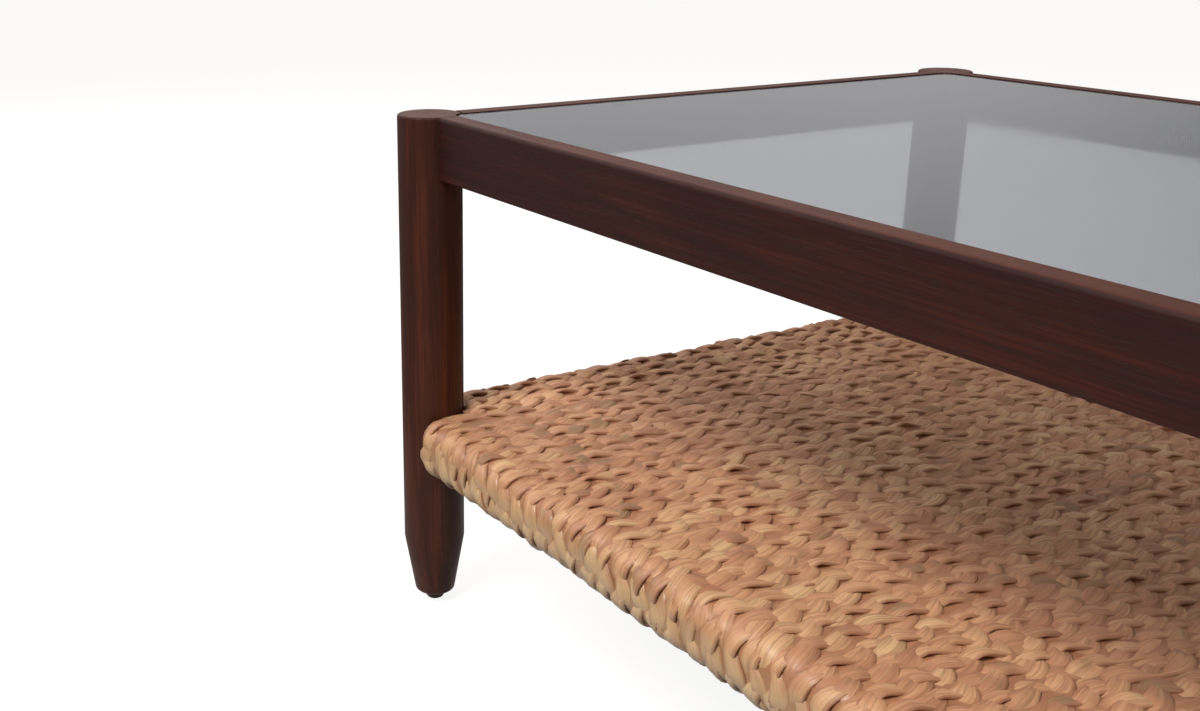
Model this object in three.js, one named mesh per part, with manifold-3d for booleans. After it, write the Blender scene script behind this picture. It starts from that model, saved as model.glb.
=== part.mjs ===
// Low table with a smoked glass top set in a wooden frame, and a plaited lower shelf.
// Millimetres, +Z up, X along the table, origin on the floor under the middle of the table.

import * as THREE from 'three';
import { mergeVertices } from 'three/addons/utils/BufferGeometryUtils.js';
import Module from 'manifold-3d';

const wasm = await Module();
wasm.setup();

// Whole table, measured over the legs
const tableLength = 1220;
const tableWidth = 610;
const tableHeight = 410;

// Turned legs
const legDiameter = 50;
const legEndDiameter = 33.5;
const legTaperLength = 51;
const legEndRound = 4;
const legTopRound = 2;

// Nailed foot glides
const glideDiameter = 16;
const glideFlatDiameter = 9;
const glideHeight = 8;
const glideRimHeight = 3;
const glideShoulderOutShare = 2 / 3;
const glideShoulderUpShare = 1 / 4;
const nailDiameter = 3;
const nailLength = 16;

// Top rails, rabbeted for the glass
const railHeight = 47.5;
const railThickness = 23;
const railFaceFromLegAxis = 5.7;
const railLandWidth = 17.6;
const railTopRound = 3;
const railEdgeRound = 1.2;
const rabbetDepth = 8;
const rabbetCornerRadius = 10;

// Tenons of the top rails
const topTenonThickness = 9;
const topTenonHeight = 28;
const topTenonDrop = 13;
const topTenonFromLegAxis = 13;

// Glass panel and the pads under it
const glassThickness = 6;
const glassRecess = 0.9;
const glassSideGap = 0.8;
const glassArris = 0.6;
const padLength = 14;
const padWidth = 4;
const padGap = 0.1;
const padsOnLongRail = 3;
const padsOnEndRail = 2;

// Plaited shelf cover
const shelfTopHeight = 173.5;
const shelfThickness = 47.5;
const shelfFrontOverhang = 3;
const shelfEdgeRadius = 18;
const plaitWidth = 18;
const plaitThickness = 9;
const plaitGroove = 2.4;
const plaitCrownWidth = 9;
const legNotchAlong = 10;
const legNotchAcross = 5;
const coverBayCount = 6;

// Wooden frame inside the shelf
const shelfRailWidth = 28;
const shelfEndRailWidth = 32;
const shelfRailTopRound = 3;
const deckThickness = 5;
const slatCount = 3;
const slatWidth = 22;
const slatTenonThickness = 10;
const slatTenonHeight = 14;
const slatTenonLength = 12;
const shelfTenonThickness = 12;
const shelfTenonHeight = 15;
const shelfTenonFromLegAxis = 9;

// Clearance of every glued or seated joint, how far cutters run past, and how deep joined solids lap
const seatGap = 0.3;
const cutOverrun = 5;
const joinLap = 8;

// Steps of the round shapes
const legSteps = 40;
const glideSteps = 16;
const arcSteps = 3;
const edgeArcSteps = 3;

// Places worked out from the sizes above
const legRadius = legDiameter / 2;
const legX = tableLength / 2 - legRadius;
const legY = tableWidth / 2 - legRadius;
const railFaceX = legX + railFaceFromLegAxis;
const railFaceY = legY + railFaceFromLegAxis;
const railBottom = tableHeight - railHeight;
const rabbetFloor = tableHeight - rabbetDepth;
const rabbetHalfX = railFaceX - railLandWidth;
const rabbetHalfY = railFaceY - railLandWidth;
const glassHalfX = rabbetHalfX - glassSideGap;
const glassHalfY = rabbetHalfY - glassSideGap;
const glassTop = tableHeight - glassRecess;
const glassBottom = glassTop - glassThickness;
const shelfBottomHeight = shelfTopHeight - shelfThickness;
const coverHalfY = tableWidth / 2 + shelfFrontOverhang;
const mainCoverHalfX = legX - legRadius - legNotchAlong;
const endCoverHalfY = legY - legRadius - legNotchAcross;
const endCoverHalfX = tableLength / 2;
const deckTop = shelfTopHeight - plaitThickness - seatGap;
const shelfRailTop = deckTop - deckThickness - seatGap;
const shelfRailBottom = shelfBottomHeight + plaitThickness + seatGap;
const shelfRailFaceY = coverHalfY - plaitThickness - seatGap;
const shelfRailFaceX = endCoverHalfX - plaitThickness - seatGap;
const shelfRailMiddle = (shelfRailTop + shelfRailBottom) / 2;

// Finishes
const finishes = {
  stainedWood: { color: 0x3a2119, roughness: 0.42, metalness: 0 },
  plainWood: { color: 0xb08d62, roughness: 0.7, metalness: 0 },
  plywood: { color: 0xc6a477, roughness: 0.75, metalness: 0 },
  smokedGlass: { color: 0x6f7377, roughness: 0.05, metalness: 0, transparent: true, opacity: 0.5 },
  clearPad: { color: 0xd9dcdc, roughness: 0.3, metalness: 0 },
  plaitedFibre: { color: 0xb98a68, roughness: 0.7, metalness: 0 },
  darkPlastic: { color: 0x2a1d18, roughness: 0.5, metalness: 0 },
};

const table = new THREE.Group();

function addPiece(name, geometry, finish) {
  const mesh = new THREE.Mesh(geometry, new THREE.MeshStandardMaterial(finishes[finish]));
  mesh.name = name;
  table.add(mesh);
  return mesh;
}

// A closed geometry as a solid that can be joined and cut
function toSolid(geometry) {
  const bare = geometry.clone();
  bare.deleteAttribute('normal');
  bare.deleteAttribute('uv');
  const merged = mergeVertices(bare);
  const vertProperties = new Float32Array(merged.attributes.position.array);
  const triVerts = new Uint32Array(merged.index.array);
  return new wasm.Manifold(new wasm.Mesh({ numProp: 3, vertProperties, triVerts }));
}

function toGeometry(solid) {
  const mesh = solid.getMesh();
  const geometry = new THREE.BufferGeometry();
  geometry.setAttribute('position', new THREE.BufferAttribute(new Float32Array(mesh.vertProperties), 3));
  geometry.setIndex(new THREE.BufferAttribute(new Uint32Array(mesh.triVerts), 1));
  return geometry;
}

function cutAll(solid, cutters) {
  return cutters.reduce((rest, cutter) => rest.subtract(cutter), solid);
}

// A box between two corners
function boxBetween(low, high) {
  const size = new THREE.Vector3().subVectors(high, low);
  const middle = new THREE.Vector3().addVectors(high, low).multiplyScalar(1 / 2);
  return new THREE.BoxGeometry(size.x, size.y, size.z).translate(middle.x, middle.y, middle.z);
}

function boxOf(x, y, z, grow = 0) {
  const low = new THREE.Vector3(Math.min(...x) - grow, Math.min(...y) - grow, Math.min(...z) - grow);
  const high = new THREE.Vector3(Math.max(...x) + grow, Math.max(...y) + grow, Math.max(...z) + grow);
  return boxBetween(low, high);
}

// A profile of radius and height points turned about an upright axis
function turned(profile, steps, x, y) {
  const points = profile.map(([radius, height]) => new THREE.Vector2(radius, height));
  return new THREE.LatheGeometry(points, steps).rotateX(Math.PI / 2).translate(x, y, 0);
}

// Points of a quarter round, from one angle to the next
function arcPoints(centreU, centreV, radius, fromAngle, toAngle, steps) {
  const points = [];
  for (let i = 0; i <= steps; i += 1) {
    const angle = fromAngle + ((toAngle - fromAngle) * i) / steps;
    points.push([centreU + radius * Math.cos(angle), centreV + radius * Math.sin(angle)]);
  }
  return points;
}

// A four-sided outline with its own round at each corner, listed from low u, low v anticlockwise
function roundedOutline(lowU, lowV, highU, highV, rounds, steps) {
  const quarter = Math.PI / 2;
  const [a, b, c, d] = rounds;
  return [
    ...arcPoints(lowU + a, lowV + a, a, 2 * quarter, 3 * quarter, steps),
    ...arcPoints(highU - b, lowV + b, b, 3 * quarter, 4 * quarter, steps),
    ...arcPoints(highU - c, highV - c, c, 0, quarter, steps),
    ...arcPoints(lowU + d, highV - d, d, quarter, 2 * quarter, steps),
  ];
}

function shapeOf(outline) {
  return new THREE.Shape(outline.map(([u, v]) => new THREE.Vector2(u, v)));
}

// A section in Y and Z run along X
function runAlongX(outline, fromX, toX) {
  const run = new THREE.ExtrudeGeometry(shapeOf(outline), { depth: toX - fromX, bevelEnabled: false });
  return run.rotateX(Math.PI / 2).rotateZ(Math.PI / 2).translate(fromX, 0, 0);
}

// A section in X and Z run along Y
function runAlongY(outline, fromY, toY) {
  const run = new THREE.ExtrudeGeometry(shapeOf(outline), { depth: toY - fromY, bevelEnabled: false });
  return run.rotateX(Math.PI / 2).translate(0, toY, 0);
}

// An outline in X and Y run up along Z
function runUp(outline, fromZ, toZ) {
  const run = new THREE.ExtrudeGeometry(shapeOf(outline), { depth: toZ - fromZ, bevelEnabled: false });
  return run.translate(0, 0, fromZ);
}

// The section of a rail that faces outwards on the low side of u, mirrored for the other side
function mirrored(outline, side) {
  if (side < 0) return outline;
  return outline.map(([u, v]) => [-u, v]).reverse();
}

const corners = [
  { name: 'front_left', x: -1, y: -1 },
  { name: 'front_right', x: 1, y: -1 },
  { name: 'rear_left', x: -1, y: 1 },
  { name: 'rear_right', x: 1, y: 1 },
];
const longSides = [{ name: 'front', side: -1 }, { name: 'rear', side: 1 }];
const endSides = [{ name: 'left', side: -1 }, { name: 'right', side: 1 }];

// The glass opening, which cuts the rabbet into the rails and the tops of the legs
const glassOpening = toSolid(runUp(
  roundedOutline(-rabbetHalfX, -rabbetHalfY, rabbetHalfX, rabbetHalfY,
    Array(4).fill(rabbetCornerRadius), arcSteps),
  rabbetFloor,
  tableHeight + cutOverrun,
));

// Each leg's round body with its clearance, which shapes the shoulders of the rails
const legBodies = corners.map((corner) => toSolid(turned(
  [
    [0, 0],
    [legRadius + seatGap, 0],
    [legRadius + seatGap, tableHeight + cutOverrun],
    [0, tableHeight + cutOverrun],
  ],
  legSteps, corner.x * legX, corner.y * legY,
)));

// Tenons of the top rails, at one corner, grown for their mortises
const topTenonTop = tableHeight - topTenonDrop;
const topTenonBottom = topTenonTop - topTenonHeight;
const topTenonMiddle = railFaceFromLegAxis - railThickness / 2;

function topLongTenon(corner, grow) {
  const middle = corner.y * (legY + topTenonMiddle);
  const end = corner.x * (legX - topTenonFromLegAxis);
  const root = corner.x * (legX - legRadius - joinLap);
  return toSolid(boxOf(
    [end, root],
    [middle - topTenonThickness / 2, middle + topTenonThickness / 2],
    [topTenonBottom, topTenonTop], grow,
  ));
}

function topEndTenon(corner, grow) {
  const middle = corner.x * (legX + topTenonMiddle);
  const end = corner.y * (legY - topTenonFromLegAxis);
  const root = corner.y * (legY - legRadius - joinLap);
  return toSolid(boxOf(
    [middle - topTenonThickness / 2, middle + topTenonThickness / 2],
    [end, root],
    [topTenonBottom, topTenonTop], grow,
  ));
}

// Tenons of the shelf rails, centred on the leg
const shelfTenonTop = shelfRailMiddle + shelfTenonHeight / 2;
const shelfTenonBottom = shelfRailMiddle - shelfTenonHeight / 2;

function shelfLongTenon(corner, grow) {
  const end = corner.x * (legX - shelfTenonFromLegAxis);
  const root = corner.x * (legX - legRadius - joinLap);
  return toSolid(boxOf(
    [end, root],
    [corner.y * legY - shelfTenonThickness / 2, corner.y * legY + shelfTenonThickness / 2],
    [shelfTenonBottom, shelfTenonTop], grow,
  ));
}

function shelfEndTenon(corner, grow) {
  const end = corner.y * (legY - shelfTenonFromLegAxis);
  const root = corner.y * (legY - legRadius - joinLap);
  return toSolid(boxOf(
    [corner.x * legX - shelfTenonThickness / 2, corner.x * legX + shelfTenonThickness / 2],
    [end, root],
    [shelfTenonBottom, shelfTenonTop], grow,
  ));
}

// Legs: a straight turned post that tapers to the foot, mortised on two sides
const legEndRadius = legEndDiameter / 2;
const legProfile = [
  [0, glideHeight],
  ...arcPoints(legEndRadius - legEndRound, glideHeight + legEndRound, legEndRound,
    -Math.PI / 2, 0, edgeArcSteps),
  [legRadius, glideHeight + legTaperLength],
  ...arcPoints(legRadius - legTopRound, tableHeight - legTopRound, legTopRound,
    0, Math.PI / 2, edgeArcSteps),
  [0, tableHeight],
];
const nailHoleProfile = [
  [0, 0],
  [nailDiameter / 2 + seatGap, 0],
  [nailDiameter / 2 + seatGap, glideHeight + nailLength + seatGap],
  [0, glideHeight + nailLength + seatGap],
];

for (const corner of corners) {
  const x = corner.x * legX;
  const y = corner.y * legY;
  const leg = cutAll(toSolid(turned(legProfile, legSteps, x, y)), [
    glassOpening,
    topLongTenon(corner, seatGap),
    topEndTenon(corner, seatGap),
    shelfLongTenon(corner, seatGap),
    shelfEndTenon(corner, seatGap),
    toSolid(turned(nailHoleProfile, glideSteps, x, y)),
  ]);
  addPiece(`leg_${corner.name}`, toGeometry(leg), 'stainedWood');
}

// Foot glides: a domed button on a nail
const glideRadius = glideDiameter / 2;
const glideFlatRadius = glideFlatDiameter / 2;
const glideTop = glideHeight - seatGap;
const glideRimBottom = glideTop - glideRimHeight;
const glideShoulderRadius = glideFlatRadius + (glideRadius - glideFlatRadius) * glideShoulderOutShare;
const glideProfile = [
  [0, 0],
  [glideFlatRadius, 0],
  [glideShoulderRadius, glideRimBottom * glideShoulderUpShare],
  [glideRadius, glideRimBottom],
  [glideRadius, glideTop],
  [nailDiameter / 2, glideTop],
  [nailDiameter / 2, glideHeight + nailLength],
  [0, glideHeight + nailLength],
];

for (const corner of corners) {
  const glide = turned(glideProfile, glideSteps, corner.x * legX, corner.y * legY);
  addPiece(`foot_glide_${corner.name}`, toGeometry(toSolid(glide)), 'darkPlastic');
}

// Top rails, with coped shoulders, a tenon at each end and the rabbet
function topRailOutline(face) {
  return roundedOutline(-face, railBottom, railThickness - face, tableHeight,
    [railEdgeRound, railEdgeRound, railEdgeRound, railTopRound], arcSteps);
}

for (const { name, side } of longSides) {
  const ends = corners.filter((corner) => corner.y === side);
  const blank = toSolid(runAlongX(mirrored(topRailOutline(railFaceY), side), -legX, legX));
  const coped = cutAll(blank, [...legBodies, glassOpening]);
  const rail = ends.reduce((rest, corner) => rest.add(topLongTenon(corner, 0)), coped);
  addPiece(`top_rail_${name}`, toGeometry(rail), 'stainedWood');
}

for (const { name, side } of endSides) {
  const ends = corners.filter((corner) => corner.x === side);
  const blank = toSolid(runAlongY(mirrored(topRailOutline(railFaceX), side), -legY, legY));
  const coped = cutAll(blank, [...legBodies, glassOpening]);
  const rail = ends.reduce((rest, corner) => rest.add(topEndTenon(corner, 0)), coped);
  addPiece(`top_rail_${name}`, toGeometry(rail), 'stainedWood');
}

// Glass panel with ground edges
const glassCorner = rabbetCornerRadius - glassSideGap;
const glassOutline = roundedOutline(-glassHalfX, -glassHalfY, glassHalfX, glassHalfY,
  Array(4).fill(glassCorner), arcSteps);
const glass = new THREE.ExtrudeGeometry(shapeOf(glassOutline), {
  depth: glassThickness - 2 * glassArris,
  bevelEnabled: true,
  bevelThickness: glassArris,
  bevelSize: glassArris,
  bevelOffset: -glassArris,
  bevelSegments: 1,
}).translate(0, 0, glassBottom + glassArris);
addPiece('glass_top', toGeometry(toSolid(glass)), 'smokedGlass');

// Clear pads between the rabbet floor and the glass
const padBottom = rabbetFloor + padGap;
const padTop = glassBottom - padGap;
const ledgeWidth = railThickness - railLandWidth;
const padMiddleX = rabbetHalfX - ledgeWidth / 2;
const padMiddleY = rabbetHalfY - ledgeWidth / 2;
const padReachX = rabbetHalfX - legRadius - padLength;
const padReachY = rabbetHalfY - legRadius - padLength;

function spread(count, reach) {
  return Array.from({ length: count }, (_, i) => -reach + (2 * reach * i) / (count - 1));
}

const pads = [];
for (const { side } of longSides) {
  for (const x of spread(padsOnLongRail, padReachX)) {
    const y = side * padMiddleY;
    pads.push(boxOf([x - padLength / 2, x + padLength / 2], [y - padWidth / 2, y + padWidth / 2],
      [padBottom, padTop]));
  }
}
for (const { side } of endSides) {
  for (const y of spread(padsOnEndRail, padReachY)) {
    const x = side * padMiddleX;
    pads.push(boxOf([x - padWidth / 2, x + padWidth / 2], [y - padLength / 2, y + padLength / 2],
      [padBottom, padTop]));
  }
}
pads.forEach((pad, i) => addPiece(`glass_pad_${i + 1}`, pad, 'clearPad'));

// Shelf slats stand between the long shelf rails and are tenoned into them
const slatFaceY = shelfRailFaceY - shelfRailWidth - seatGap;
const slatPlaces = Array.from(
  { length: slatCount },
  (_, i) => mainCoverHalfX * ((2 * (i + 1)) / (slatCount + 1) - 1),
);

function slatTenon(x, side, grow) {
  return toSolid(boxOf(
    [x - slatTenonThickness / 2, x + slatTenonThickness / 2],
    [side * (slatFaceY - joinLap), side * (slatFaceY + slatTenonLength)],
    [shelfRailMiddle - slatTenonHeight / 2, shelfRailMiddle + slatTenonHeight / 2], grow,
  ));
}

slatPlaces.forEach((x, i) => {
  const bar = toSolid(boxOf([x - slatWidth / 2, x + slatWidth / 2], [-slatFaceY, slatFaceY],
    [shelfRailBottom, shelfRailTop]));
  const slat = bar.add(slatTenon(x, -1, 0)).add(slatTenon(x, 1, 0));
  addPiece(`shelf_slat_${i + 1}`, toGeometry(slat), 'plainWood');
});

// Shelf rails, rounded to fit inside the plaits
const shelfRailRound = shelfEdgeRadius - plaitThickness - seatGap;

function shelfRailOutline(face, width) {
  return roundedOutline(-face, shelfRailBottom, width - face, shelfRailTop,
    [shelfRailRound, railEdgeRound, railEdgeRound, shelfRailTopRound], arcSteps);
}

for (const { name, side } of longSides) {
  const ends = corners.filter((corner) => corner.y === side);
  const outline = mirrored(shelfRailOutline(shelfRailFaceY, shelfRailWidth), side);
  const blank = toSolid(runAlongX(outline, -legX, legX));
  const mortises = slatPlaces.map((x) => slatTenon(x, side, seatGap));
  const coped = cutAll(blank, [...legBodies, ...mortises]);
  const rail = ends.reduce((rest, corner) => rest.add(shelfLongTenon(corner, 0)), coped);
  addPiece(`shelf_rail_${name}`, toGeometry(rail), 'stainedWood');
}

for (const { name, side } of endSides) {
  const ends = corners.filter((corner) => corner.x === side);
  const outline = mirrored(shelfRailOutline(shelfRailFaceX, shelfEndRailWidth), side);
  const blank = toSolid(runAlongY(outline, -legY, legY));
  const coped = cutAll(blank, legBodies);
  const rail = ends.reduce((rest, corner) => rest.add(shelfEndTenon(corner, 0)), coped);
  addPiece(`shelf_rail_${name}`, toGeometry(rail), 'stainedWood');
}

// Plywood deck, notched round the legs
const deckEndX = endCoverHalfX - shelfEdgeRadius;
const deckSideY = coverHalfY - shelfEdgeRadius;
const deckOutline = [
  [-deckEndX, -endCoverHalfY], [-mainCoverHalfX, -endCoverHalfY], [-mainCoverHalfX, -deckSideY],
  [mainCoverHalfX, -deckSideY], [mainCoverHalfX, -endCoverHalfY], [deckEndX, -endCoverHalfY],
  [deckEndX, endCoverHalfY], [mainCoverHalfX, endCoverHalfY], [mainCoverHalfX, deckSideY],
  [-mainCoverHalfX, deckSideY], [-mainCoverHalfX, endCoverHalfY], [-deckEndX, endCoverHalfY],
];
const deck = toSolid(runUp(deckOutline, deckTop - deckThickness, deckTop));
addPiece('shelf_deck', toGeometry(deck), 'plywood');

// The round-cornered path of a plait wound across the shelf: points with their outward directions
function windingPath() {
  const quarter = Math.PI / 2;
  const reachY = coverHalfY - shelfEdgeRadius;
  const lowZ = shelfBottomHeight + shelfEdgeRadius;
  const highZ = shelfTopHeight - shelfEdgeRadius;
  const centres = [[-reachY, lowZ], [reachY, lowZ], [reachY, highZ], [-reachY, highZ]];
  return centres.flatMap(([y, z], i) => arcPoints(0, 0, 1, (i + 2) * quarter, (i + 3) * quarter, arcSteps)
    .map(([outY, outZ]) => ({ y, z, outY, outZ })));
}

// Across a plait the outer face rises from the groove to a flat crown, and falls again
function plaitStations(fromX, toX, count) {
  const pitch = (toX - fromX) / count;
  const shoulder = (pitch - plaitCrownWidth) / 2;
  const stations = [];
  for (let i = 0; i < count; i += 1) {
    const start = fromX + pitch * i;
    stations.push([start, plaitGroove], [start + shoulder, 0], [start + pitch - shoulder, 0]);
  }
  stations.push([toX, plaitGroove]);
  return stations;
}

// One bay of the cover: plaits side by side, wound right round the shelf frame
function windingBay(fromX, toX, count) {
  const path = windingPath();
  const stations = plaitStations(fromX, toX, count);
  const rings = [
    ...stations.map(([x, sunk]) => ({ x, radius: shelfEdgeRadius - sunk })),
    { x: toX, radius: shelfEdgeRadius - plaitThickness },
    { x: fromX, radius: shelfEdgeRadius - plaitThickness },
  ];
  const positions = rings.flatMap(({ x, radius }) => path
    .flatMap(({ y, z, outY, outZ }) => [x, y + outY * radius, z + outZ * radius]));
  const indices = [];
  const around = path.length;
  rings.forEach((_, ring) => {
    const next = (ring + 1) % rings.length;
    for (let i = 0; i < around; i += 1) {
      const j = (i + 1) % around;
      const a = ring * around + i;
      const b = ring * around + j;
      const c = next * around + j;
      const d = next * around + i;
      indices.push(a, b, c, a, c, d);
    }
  });
  const geometry = new THREE.BufferGeometry();
  geometry.setAttribute('position', new THREE.Float32BufferAttribute(positions, 3));
  geometry.setIndex(indices);
  return geometry;
}

const plaitCount = Math.round((2 * mainCoverHalfX) / plaitWidth);
const plaitPitch = (2 * mainCoverHalfX) / plaitCount;

for (let bay = 0; bay < coverBayCount; bay += 1) {
  const first = Math.round((plaitCount * bay) / coverBayCount);
  const last = Math.round((plaitCount * (bay + 1)) / coverBayCount);
  const fromX = -mainCoverHalfX + plaitPitch * first + seatGap / 2;
  const toX = -mainCoverHalfX + plaitPitch * last - seatGap / 2;
  const cover = windingBay(fromX, toX, last - first);
  addPiece(`plaited_cover_bay_${bay + 1}`, toGeometry(toSolid(cover)), 'plaitedFibre');
}

// The section of an end cover: short plaits side by side over, round and under the end rail
const endCoverInnerX = mainCoverHalfX + seatGap / 2;
const endBendX = endCoverHalfX - shelfEdgeRadius;
const upperBendZ = shelfTopHeight - shelfEdgeRadius;
const lowerBendZ = shelfBottomHeight + shelfEdgeRadius;
const endFlat = endBendX - endCoverInnerX;
const endBendRadius = shelfEdgeRadius - plaitThickness / 2;
const endBend = (Math.PI / 2) * endBendRadius;
const endUpright = upperBendZ - lowerBendZ;
const endCoverRun = 2 * endFlat + 2 * endBend + endUpright;

// The outer face of an end cover, at a distance along it from its upper inner edge
function endCoverPoint(run, sunk) {
  const radius = shelfEdgeRadius - sunk;
  const lowerBendStart = endFlat + endBend + endUpright;
  if (run <= endFlat) return [endCoverInnerX + run, shelfTopHeight - sunk];
  if (run <= endFlat + endBend) {
    const angle = Math.PI / 2 - (run - endFlat) / endBendRadius;
    return [endBendX + radius * Math.cos(angle), upperBendZ + radius * Math.sin(angle)];
  }
  if (run <= lowerBendStart) return [endCoverHalfX - sunk, upperBendZ - (run - endFlat - endBend)];
  if (run <= lowerBendStart + endBend) {
    const angle = (lowerBendStart - run) / endBendRadius;
    return [endBendX + radius * Math.cos(angle), lowerBendZ + radius * Math.sin(angle)];
  }
  return [endCoverInnerX + (endCoverRun - run), shelfBottomHeight + sunk];
}

function endCoverOutline() {
  const count = Math.round(endCoverRun / plaitWidth);
  const innerRadius = shelfEdgeRadius - plaitThickness;
  const outer = plaitStations(0, endCoverRun, count).map(([run, sunk]) => endCoverPoint(run, sunk));
  const inner = [
    [endCoverInnerX, shelfBottomHeight + plaitThickness],
    ...arcPoints(endBendX, lowerBendZ, innerRadius, -Math.PI / 2, 0, arcSteps),
    ...arcPoints(endBendX, upperBendZ, innerRadius, 0, Math.PI / 2, arcSteps),
    [endCoverInnerX, shelfTopHeight - plaitThickness],
  ];
  return [...outer, ...inner];
}

for (const { name, side } of endSides) {
  const section = side < 0 ? endCoverOutline().map(([x, z]) => [-x, z]) : endCoverOutline().reverse();
  const cover = runAlongY(section, -endCoverHalfY, endCoverHalfY);
  addPiece(`plaited_cover_${name}_end`, toGeometry(toSolid(cover)), 'plaitedFibre');
}

export default table;
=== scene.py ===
import math

import bmesh
import bpy
import numpy as np
from mathutils import Matrix, Vector


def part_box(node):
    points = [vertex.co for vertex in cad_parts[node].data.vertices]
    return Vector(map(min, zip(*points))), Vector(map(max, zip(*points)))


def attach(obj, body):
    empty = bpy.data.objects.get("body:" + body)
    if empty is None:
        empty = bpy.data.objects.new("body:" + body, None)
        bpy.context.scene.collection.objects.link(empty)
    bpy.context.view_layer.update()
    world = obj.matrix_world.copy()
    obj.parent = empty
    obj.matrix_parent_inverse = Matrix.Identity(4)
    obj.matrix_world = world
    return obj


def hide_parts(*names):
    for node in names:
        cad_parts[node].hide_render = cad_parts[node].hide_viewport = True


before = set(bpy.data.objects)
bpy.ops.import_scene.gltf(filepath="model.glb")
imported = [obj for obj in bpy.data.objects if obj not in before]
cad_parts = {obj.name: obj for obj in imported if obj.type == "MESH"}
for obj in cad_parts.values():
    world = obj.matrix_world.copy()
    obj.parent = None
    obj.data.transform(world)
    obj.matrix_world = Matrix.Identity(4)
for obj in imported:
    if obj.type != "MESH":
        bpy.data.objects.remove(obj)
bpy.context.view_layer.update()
scene = bpy.context.scene
print("frame loaded")

# adding shader nodes


def addNode(tree, kind, **settings):
    node = tree.nodes.new(kind)
    for name, value in settings.items():
        setattr(node, name, value)
    return node


# fills sockets by name or number, each with a plain value or a link from another socket
def feed(tree, node, values):
    for name, value in values.items():
        if isinstance(value, bpy.types.NodeSocket):
            tree.links.new(value, node.inputs[name])
        else:
            node.inputs[name].default_value = value


def mathNode(tree, operation, first, second, clamp=False):
    node = addNode(tree, "ShaderNodeMath", operation=operation, use_clamp=clamp)
    feed(tree, node, {0: first, 1: second})
    return node.outputs[0]


def plus(tree, first, second, clamp=False):
    return mathNode(tree, "ADD", first, second, clamp)


def times(tree, first, second):
    return mathNode(tree, "MULTIPLY", first, second)


def mixColour(tree, share, first, second, blend="MIX"):
    node = addNode(tree, "ShaderNodeMix", data_type="RGBA", blend_type=blend)
    feed(tree, node, {"Factor": share, "A": first, "B": second})
    return node.outputs["Result"]


def rangeNode(tree, value, low, high, toLow=0.0, toHigh=1.0):
    node = addNode(tree, "ShaderNodeMapRange", interpolation_type="SMOOTHSTEP")
    feed(tree, node, {"Value": value, "From Min": low, "From Max": high, "To Min": toLow, "To Max": toHigh})
    return node.outputs["Result"]


# noise with one scale along the Z of its vector and another across it
def stretchedNoise(tree, vector, across, along, detail, rough, bend=0.0):
    scale = addNode(tree, "ShaderNodeCombineXYZ")
    feed(tree, scale, {"X": across, "Y": across, "Z": along})
    stretch = addNode(tree, "ShaderNodeVectorMath", operation="MULTIPLY")
    feed(tree, stretch, {0: vector, 1: scale.outputs[0]})
    noise = addNode(tree, "ShaderNodeTexNoise")
    feed(tree, noise, {"Vector": stretch.outputs[0], "Scale": 1.0})
    feed(tree, noise, {"Detail": detail, "Roughness": rough, "Distortion": bend})
    return noise.outputs["Fac"]


def objectPlace(tree):
    return addNode(tree, "ShaderNodeTexCoord").outputs["Object"]


def axisOf(tree, vector, axis):
    parts = addNode(tree, "ShaderNodeSeparateXYZ")
    feed(tree, parts, {0: vector})
    return parts.outputs[axis]


def bumpFrom(tree, shader, height, strength, distance):
    bump = addNode(tree, "ShaderNodeBump")
    feed(tree, bump, {"Height": height, "Strength": strength, "Distance": distance})
    feed(tree, shader, {"Normal": bump.outputs["Normal"]})


def startMaterial(name):
    material = bpy.data.materials.new(name)
    material.use_nodes = True
    return material, material.node_tree, material.node_tree.nodes["Principled BSDF"]


# camera and stage

cameraSettings = {
    "place": (0.3398, -0.7763, 0.5592),
    "turn": 60.01,
    "tilt": 18.13,
    "roll": -0.12,
    "lens": 41.09,
    "sensor": 36.0,
    "shiftX": 0.1061,
    "nearest": 0.01,
}

stageSettings = {
    "floorSize": 60.0,
    "floorSteps": 6,
    "floorColour": (0.16, 0.16, 0.16, 1),
    "floorRoughness": 0.9,
    "floorShine": 0.0,
    "floorGlow": 0.90,
    "floorMirrored": 0.46,  # the floor's brightness in the glass and in glossy edges
    "poolStart": 0.70,  # it is mirrored in full up to this distance from the table's middle
    "poolEnd": 1.05,  # and not at all past this one
    "skyColour": (1, 1, 1, 1),
    "wallLeft": (0.53, 0.53, 0.54, 1),
    "wallRight": (0.13, 0.13, 0.13, 1),
    "wallStart": -0.30,
    "wallEnd": -0.70,
    "fillTint": (1.38, 1.14, 0.93, 1),  # the walls as a light
    "mirroredTint": (1, 1, 1, 1),  # the walls as a reflection
}

lampSettings = {
    "key": {
        "aim": (-0.25, -0.1, 0.2),
        "from": (0.25, -2.5, 3.1),
        "size": 1.4,
        "power": 137,
        "tint": (1, 0.975, 0.94),
    },
    "left": {
        "aim": (-0.3, -0.1, 0.15),
        "from": (-2.7, -0.6, 2.0),
        "size": 2.8,
        "power": 38,
        "tint": (1, 0.98, 0.95),
    },
    "rear": {
        "aim": (-0.3, 0.0, 0.15),
        "from": (2.4, 2.6, 2.2),
        "size": 2.0,
        "power": 34,
        "tint": (1, 0.98, 0.95),
    },
}


def deselectAll():
    if bpy.context.object and bpy.context.object.mode != "OBJECT":
        bpy.ops.object.mode_set(mode="OBJECT")
    bpy.ops.object.select_all(action="DESELECT")


def pick(piece):
    deselectAll()
    piece.select_set(True)
    bpy.context.view_layer.objects.active = piece


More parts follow.
